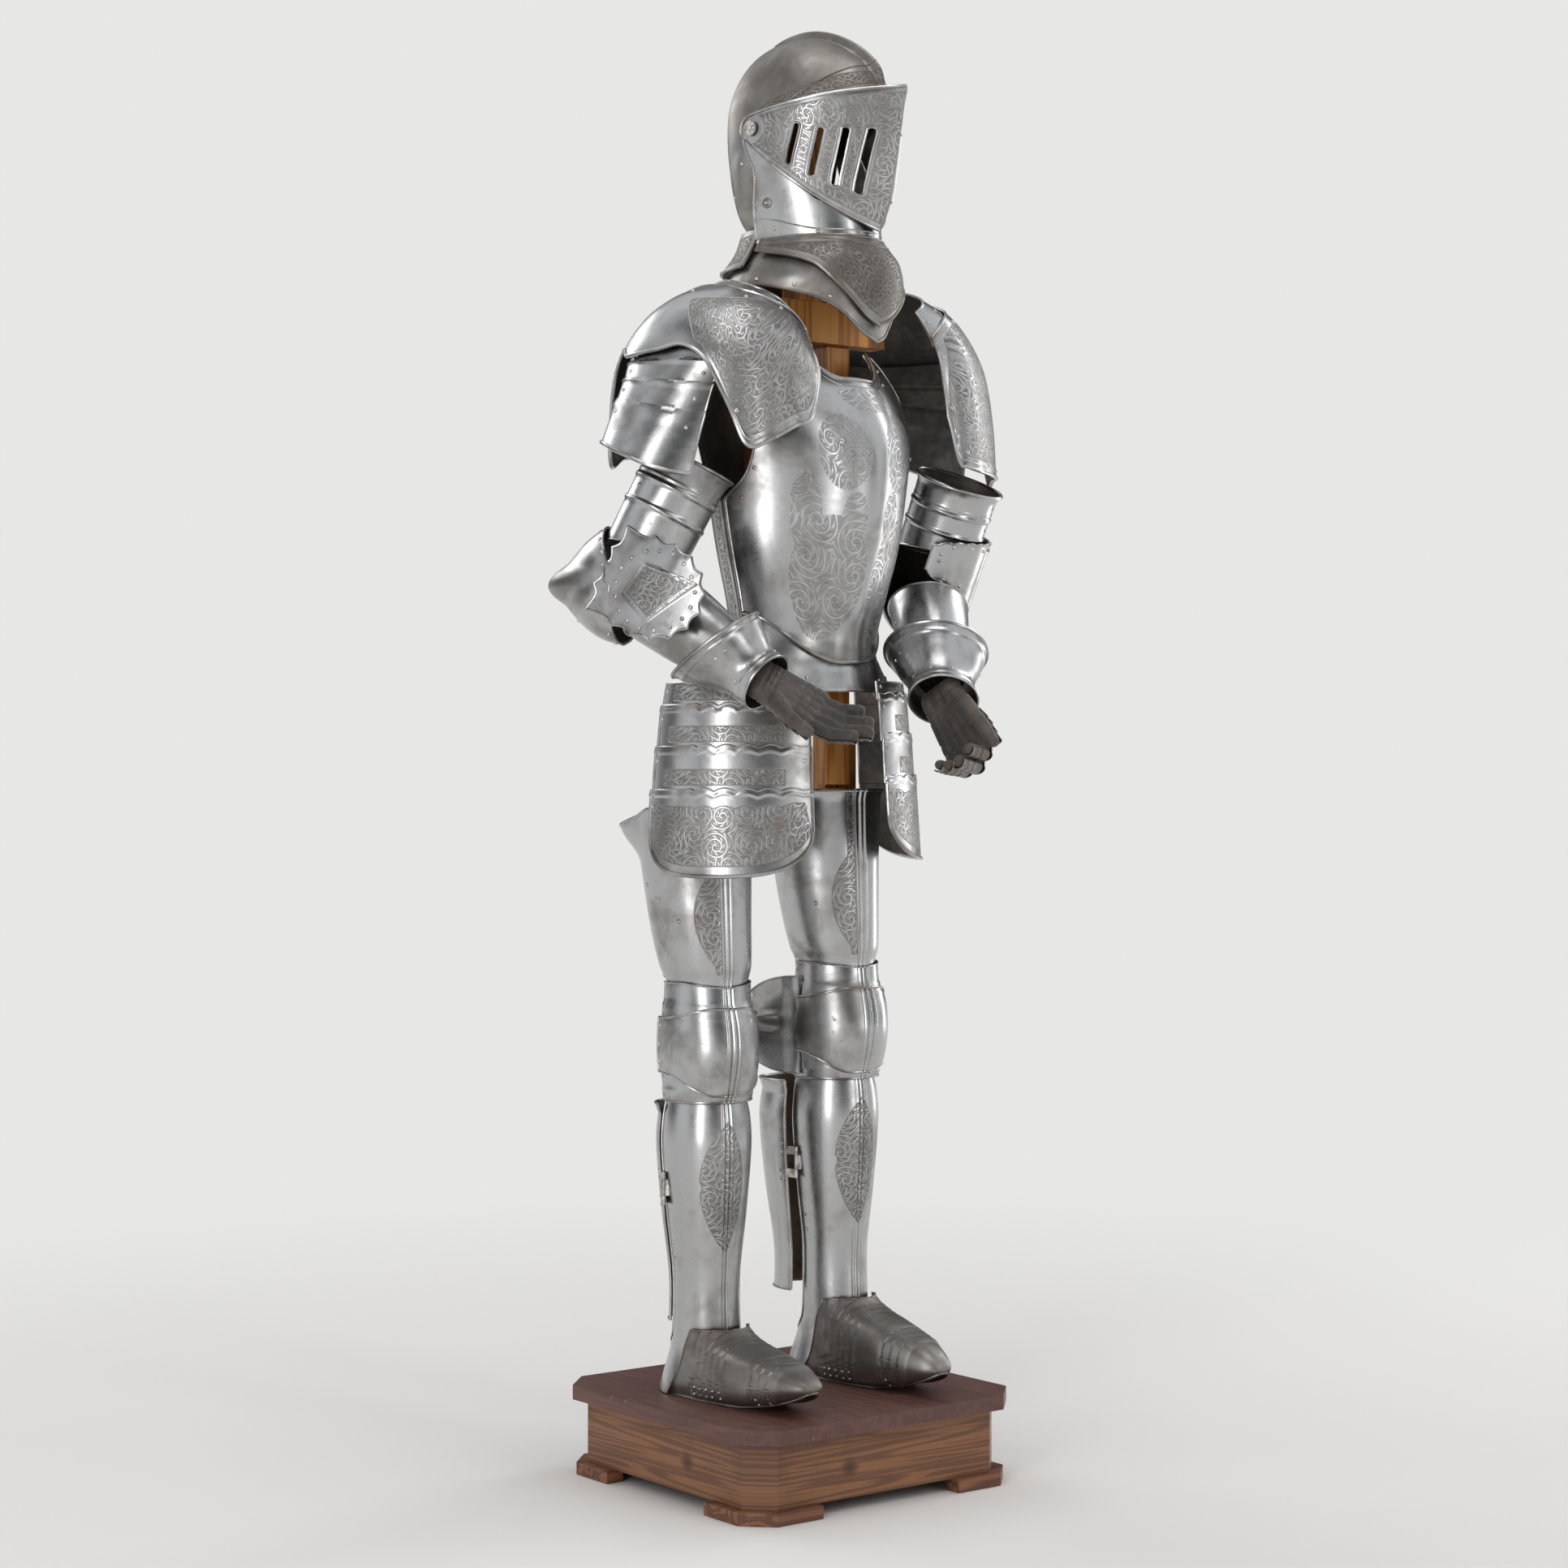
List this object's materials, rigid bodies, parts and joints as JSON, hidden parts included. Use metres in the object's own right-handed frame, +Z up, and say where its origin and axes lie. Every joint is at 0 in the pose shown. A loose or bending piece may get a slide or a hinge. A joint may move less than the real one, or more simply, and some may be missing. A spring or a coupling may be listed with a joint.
{
  "type": "suit of plate armour on a wooden display stand",
  "caption": "Full suit of plate armour with closed visored helmet, etched plates and leather gloves, standing on a wooden post stand with a low plinth.",
  "frame": {"origin": "on the ground under the middle of the bounding box", "axes": "+Z up, -Y is the front of the plinth, -X is the wearer's right"},
  "size_m": [0.6985, 0.5278, 1.9952],
  "materials": {
    "steel": "polished steel with soft brown-grey patina and etched bands",
    "dark_steel": "darker, browner steel",
    "leather": "dark worn glove leather",
    "pine": "orange-brown pine",
    "stained_pine": "stained pine",
    "painted_board": "dark red-brown, scuffed"
  },
  "bodies": {
    "frame": {"backplate": "steel", "breastplate": "steel", "couter_l": "steel", "couter_r": "steel", "cuisse_l": "steel", "cuisse_r": "steel", "fauld": "steel", "gauntlet_cuff_l": "steel", "gauntlet_cuff_r": "steel", "glove_l": "leather", "glove_r": "leather", "gorget": "dark_steel", "greave_front_l": "steel", "greave_front_r": "steel", "head_post": "pine", "helmet_skull": "dark_steel", "knee_cup_l": "steel", "knee_cup_r": "steel", "leg_post_l": "pine", "leg_post_r": "pine", "lower_cannon_l": "steel", "lower_cannon_r": "steel", "neck_rear": "dark_steel", "pauldron_collar_l": "steel", "pauldron_collar_r": "steel", "pauldron_l": "steel", "pauldron_lames_l": "steel", "pauldron_lames_r": "steel", "pauldron_r": "steel", "plinth_board": "painted_board", "plinth_box": "stained_pine", "plinth_foot_bl": "stained_pine", "plinth_foot_br": "stained_pine", "plinth_foot_fl": "stained_pine", "plinth_foot_fr": "stained_pine", "poleyn_lower_l": "steel", "poleyn_lower_r": "steel", "poleyn_upper_l": "steel", "poleyn_upper_r": "steel", "sabaton_l": "dark_steel", "sabaton_r": "dark_steel", "shoulder_board": "pine", "tasset_l1": "steel", "tasset_l2": "steel", "tasset_l3": "steel", "tasset_l4": "steel", "tasset_r1": "steel", "tasset_r2": "steel", "tasset_r3": "steel", "tasset_r4": "steel", "torso_post_l": "pine", "torso_post_r": "pine", "upper_cannon_l": "steel", "upper_cannon_r": "steel"},
    "bevor_body": {"bevor": "steel", "neck_front": "dark_steel"},
    "visor_body": {"visor": "steel"},
    "calf_r": {"greave_back_r": "steel"},
    "calf_l": {"greave_back_l": "steel"}
  },
  "joints": [
    {"name": "bevor_pivot", "type": "hinge", "parent": "frame", "child": "bevor_body", "pos_m": [-0.00693, 0.01079, 1.846], "axis": [-0.9744, -0.225, 0], "range_deg": [0, 40]},
    {"name": "visor_pivot", "type": "hinge", "parent": "bevor_body", "child": "visor_body", "pos_m": [-0.00693, 0.01079, 1.846], "axis": [-0.9744, -0.225, 0], "range_deg": [0, 65]},
    {"name": "greave_hinge_r", "type": "hinge", "parent": "frame", "child": "calf_r", "pos_m": [-0.18527, 0.08906, 0.4], "axis": [0, 0, 1], "range_deg": [-8, 80]},
    {"name": "greave_hinge_l", "type": "hinge", "parent": "frame", "child": "calf_l", "pos_m": [0.03711, 0.0804, 0.4], "axis": [0, 0, 1], "range_deg": [-40, 45]}
  ]
}
